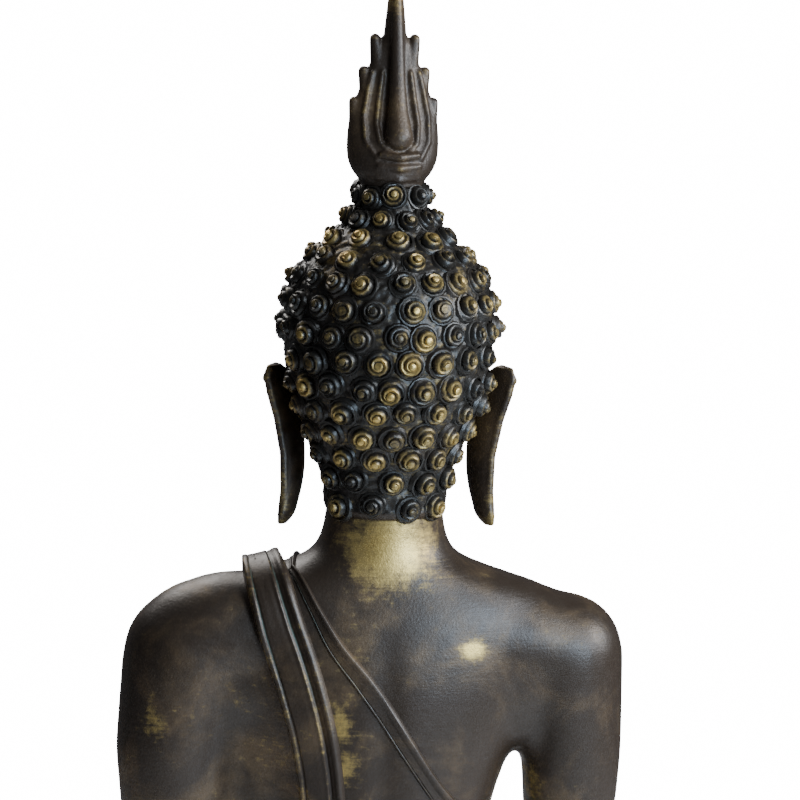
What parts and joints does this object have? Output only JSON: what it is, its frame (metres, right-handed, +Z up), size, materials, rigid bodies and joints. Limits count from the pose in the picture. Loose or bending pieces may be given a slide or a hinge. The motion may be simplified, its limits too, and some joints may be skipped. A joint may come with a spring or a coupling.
{
  "type": "buddha statue",
  "caption": "Seated bronze Buddha in the earth-touching pose with snail-shell curls, a flame finial and a robe over the left shoulder, on a moulded plinth.",
  "frame": {"origin": "middle of the underside of the felt pads, under the middle of the plinth", "axes": "+Z up, the figure faces -Y, its left hand is on the +X side"},
  "size_m": [0.45, 0.25, 0.798],
  "materials": {
    "body_bronze": "dark satin patina, rubbed to gold on the edges",
    "robe_bronze": "dark satin patina with green in the folds",
    "curl_bronze": "dark patina with worn golden tips",
    "finial_bronze": "dark satin patina",
    "plug_bronze": "rubbed bronze",
    "plinth_bronze": "dark satin patina",
    "cover_brass": "unpolished sheet and bar",
    "screw_steel": "satin",
    "felt": "matte",
    "core_iron": "rusty"
  },
  "bodies": {
    "plinth": {"plinth_body": "plinth_bronze", "cover_plate": "cover_brass", "cover_screws": "screw_steel", "felt_pads": "felt"},
    "figure": {"legs_casting": "body_bronze", "seat_plate": "cover_brass", "locating_pegs": "cover_brass", "torso_casting": "body_bronze", "core_pin_plugs": "plug_bronze", "right_arm": "body_bronze", "left_arm_robed": "robe_bronze", "right_hand": "body_bronze", "left_hand": "body_bronze", "right_foot": "body_bronze", "left_foot": "body_bronze", "shoulder_cloth": "robe_bronze", "robe_hem": "robe_bronze", "head_casting": "body_bronze", "neck_spigot": "cover_brass", "left_ear": "body_bronze", "right_ear": "body_bronze", "curls_ushnisha": "curl_bronze", "curls_crown": "curl_bronze", "curls_back": "curl_bronze", "curls_left": "curl_bronze", "curls_right": "curl_bronze", "armature_bars": "core_iron", "armature_rod": "core_iron"},
    "finial": {"flame_finial": "finial_bronze"}
  },
  "joints": [
    {"name": "figure_lift", "type": "slide", "parent": "plinth", "child": "figure", "axis": [0, 0, 1], "range_m": [0, 0.02]},
    {"name": "finial_lift", "type": "slide", "parent": "figure", "child": "finial", "axis": [0, 0, 1], "range_m": [0, 0.03]}
  ]
}
